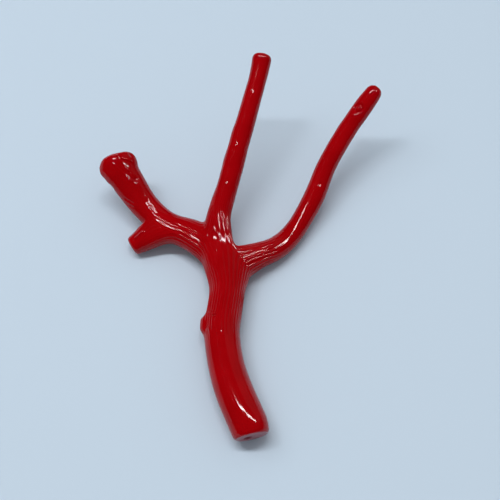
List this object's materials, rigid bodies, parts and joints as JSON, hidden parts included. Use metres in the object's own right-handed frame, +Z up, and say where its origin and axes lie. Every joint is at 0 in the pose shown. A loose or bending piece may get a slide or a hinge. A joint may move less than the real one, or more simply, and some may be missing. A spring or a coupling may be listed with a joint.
{
  "type": "red coral branch",
  "caption": "Polished branch of red coral: a thick sawn stem parts into a left, a middle and a right branch, with a short sawn stub on the left one. It lies on a surface.",
  "frame": {"origin": "bottom centre of the bounding box, on the surface that the branch lies on", "axes": "+Y runs from the sawn end of the stem towards the tips, +X to the side of the right branch, +Z up from the surface"},
  "size_m": [0.0351, 0.0473, 0.0123],
  "materials": {
    "coral": "high wax polish over fine lengthwise growth grooves"
  },
  "bodies": {
    "root": {"stem": "coral", "left_branch": "coral", "left_stub": "coral", "middle_branch": "coral", "right_branch": "coral"}
  },
  "joints": []
}
